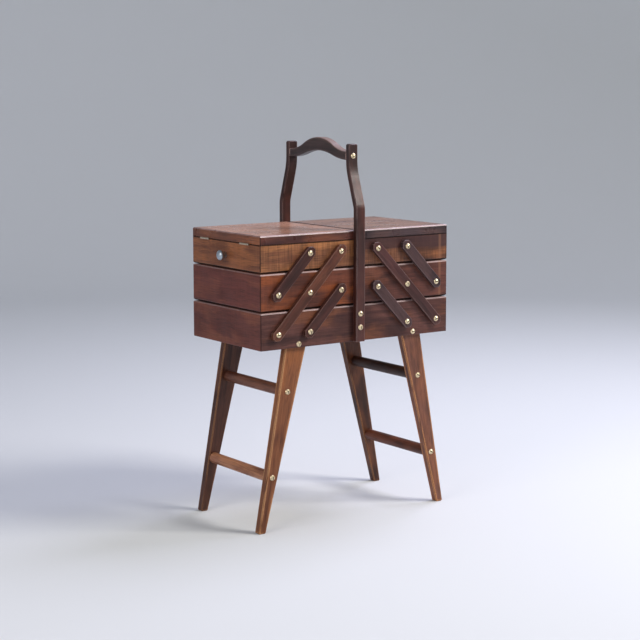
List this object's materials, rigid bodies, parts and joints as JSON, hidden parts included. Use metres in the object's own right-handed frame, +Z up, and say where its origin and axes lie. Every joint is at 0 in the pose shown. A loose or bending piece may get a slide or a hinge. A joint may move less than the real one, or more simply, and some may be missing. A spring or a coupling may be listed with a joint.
{
  "type": "cantilever sewing box",
  "caption": "Wooden sewing box on splayed legs; trays swing out to both sides on lift arms, lids are hinged at the ends, and a bent handle carries it.",
  "frame": {"origin": "on the floor, under the middle of the box", "axes": "+X along the box to its right end, +Y to the back, +Z up"},
  "size_m": [0.464, 0.262, 0.7156],
  "materials": {
    "case_wood": "stained red-brown mahogany, satin varnish",
    "middle_tray_wood": "stained red-brown mahogany, satin varnish",
    "top_tray_wood": "orange-brown ribbon mahogany, satin varnish",
    "lid_wood": "orange-brown mahogany, satin varnish",
    "arm_wood": "dark stained beech, satin",
    "leg_wood": "stained beech with worn edges, satin",
    "rung_wood": "stained beech dowel, satin",
    "handle_wood": "dark stained beech, satin varnish",
    "plywood": "thin plywood, bare inside",
    "brass": "polished round-head screws",
    "aged_brass": "dull brass hinge",
    "knob_metal": "bright plated knob"
  },
  "bodies": {
    "stand": {"case_front_board": "case_wood", "case_back_board": "case_wood", "case_left_end": "case_wood", "case_right_end": "case_wood", "case_floor": "plywood", "case_pivot_screws": "brass", "leg_screws": "brass", "rung_screws": "brass", "handle_screws": "brass", "front_upright": "handle_wood", "back_upright": "handle_wood", "handle_grip": "handle_wood", "left_front_leg": "leg_wood", "left_back_leg": "leg_wood", "left_upper_rung": "rung_wood", "left_lower_rung": "rung_wood", "right_front_leg": "leg_wood", "right_back_leg": "leg_wood", "right_upper_rung": "rung_wood", "right_lower_rung": "rung_wood"},
    "left_long_arms": {"left_long_links": "arm_wood"},
    "left_lower_short_arms": {"left_lower_short_links": "arm_wood"},
    "left_upper_short_arms": {"left_upper_short_links": "arm_wood"},
    "left_middle_tray": {"left_middle_long_boards": "middle_tray_wood", "left_middle_outer_end": "middle_tray_wood", "left_middle_inner_end": "middle_tray_wood", "left_middle_floor": "plywood", "left_middle_pivot_screws": "brass"},
    "left_top_tray": {"left_top_long_boards": "top_tray_wood", "left_top_outer_end": "top_tray_wood", "left_top_inner_end": "top_tray_wood", "left_top_floor": "plywood", "left_top_divider": "plywood", "left_top_pivot_screws": "brass", "left_top_hinge_leaves": "aged_brass", "left_top_knob": "knob_metal"},
    "left_lid": {"left_lid_panel": "lid_wood", "left_lid_rim": "lid_wood", "left_lid_hinge_leaves": "aged_brass"},
    "right_long_arms": {"right_long_links": "arm_wood"},
    "right_lower_short_arms": {"right_lower_short_links": "arm_wood"},
    "right_upper_short_arms": {"right_upper_short_links": "arm_wood"},
    "right_middle_tray": {"right_middle_long_boards": "middle_tray_wood", "right_middle_outer_end": "middle_tray_wood", "right_middle_inner_end": "middle_tray_wood", "right_middle_floor": "plywood", "right_middle_pivot_screws": "brass"},
    "right_top_tray": {"right_top_long_boards": "top_tray_wood", "right_top_outer_end": "top_tray_wood", "right_top_inner_end": "top_tray_wood", "right_top_floor": "plywood", "right_top_divider": "plywood", "right_top_pivot_screws": "brass", "right_top_hinge_leaves": "aged_brass", "right_top_knob": "knob_metal"},
    "right_lid": {"right_lid_panel": "lid_wood", "right_lid_rim": "lid_wood", "right_lid_hinge_leaves": "aged_brass"}
  },
  "joints": [
    {"name": "left_swing", "type": "hinge", "parent": "stand", "child": "left_long_arms", "pos_m": [-0.1815, 0, 0.3682], "axis": [0, -1, 0], "range_deg": [0, 88]},
    {"name": "left_middle_tray_level", "type": "hinge", "parent": "left_long_arms", "child": "left_middle_tray", "pos_m": [-0.112, 0, 0.44], "axis": [0, -1, 0], "range_deg": [-88, 0]},
    {"name": "left_top_tray_level", "type": "hinge", "parent": "left_long_arms", "child": "left_top_tray", "pos_m": [-0.0425, 0, 0.5118], "axis": [0, -1, 0], "range_deg": [-88, 0]},
    {"name": "left_lower_short_swing", "type": "hinge", "parent": "stand", "child": "left_lower_short_arms", "pos_m": [-0.112, 0, 0.3682], "axis": [0, -1, 0], "range_deg": [0, 88]},
    {"name": "left_upper_short_swing", "type": "hinge", "parent": "left_middle_tray", "child": "left_upper_short_arms", "pos_m": [-0.1815, 0, 0.44], "axis": [0, -1, 0], "range_deg": [0, 88]},
    {"name": "left_lid_hinge", "type": "hinge", "parent": "left_top_tray", "child": "left_lid", "pos_m": [-0.217, 0, 0.53025], "axis": [0, -1, 0], "range_deg": [0, 170]},
    {"name": "right_swing", "type": "hinge", "parent": "stand", "child": "right_long_arms", "pos_m": [0.1815, 0, 0.3682], "axis": [0, 1, 0], "range_deg": [0, 88]},
    {"name": "right_middle_tray_level", "type": "hinge", "parent": "right_long_arms", "child": "right_middle_tray", "pos_m": [0.112, 0, 0.44], "axis": [0, 1, 0], "range_deg": [-88, 0]},
    {"name": "right_top_tray_level", "type": "hinge", "parent": "right_long_arms", "child": "right_top_tray", "pos_m": [0.0425, 0, 0.5118], "axis": [0, 1, 0], "range_deg": [-88, 0]},
    {"name": "right_lower_short_swing", "type": "hinge", "parent": "stand", "child": "right_lower_short_arms", "pos_m": [0.112, 0, 0.3682], "axis": [0, 1, 0], "range_deg": [0, 88]},
    {"name": "right_upper_short_swing", "type": "hinge", "parent": "right_middle_tray", "child": "right_upper_short_arms", "pos_m": [0.1815, 0, 0.44], "axis": [0, 1, 0], "range_deg": [0, 88]},
    {"name": "right_lid_hinge", "type": "hinge", "parent": "right_top_tray", "child": "right_lid", "pos_m": [0.217, 0, 0.53025], "axis": [0, 1, 0], "range_deg": [0, 170]}
  ],
  "couplings": [
    {"joint": "left_middle_tray_level", "follows": "left_swing", "ratio": -1},
    {"joint": "left_top_tray_level", "follows": "left_swing", "ratio": -1},
    {"joint": "left_lower_short_swing", "follows": "left_swing", "ratio": 1},
    {"joint": "left_upper_short_swing", "follows": "left_swing", "ratio": 1},
    {"joint": "right_middle_tray_level", "follows": "right_swing", "ratio": -1},
    {"joint": "right_top_tray_level", "follows": "right_swing", "ratio": -1},
    {"joint": "right_lower_short_swing", "follows": "right_swing", "ratio": 1},
    {"joint": "right_upper_short_swing", "follows": "right_swing", "ratio": 1}
  ]
}
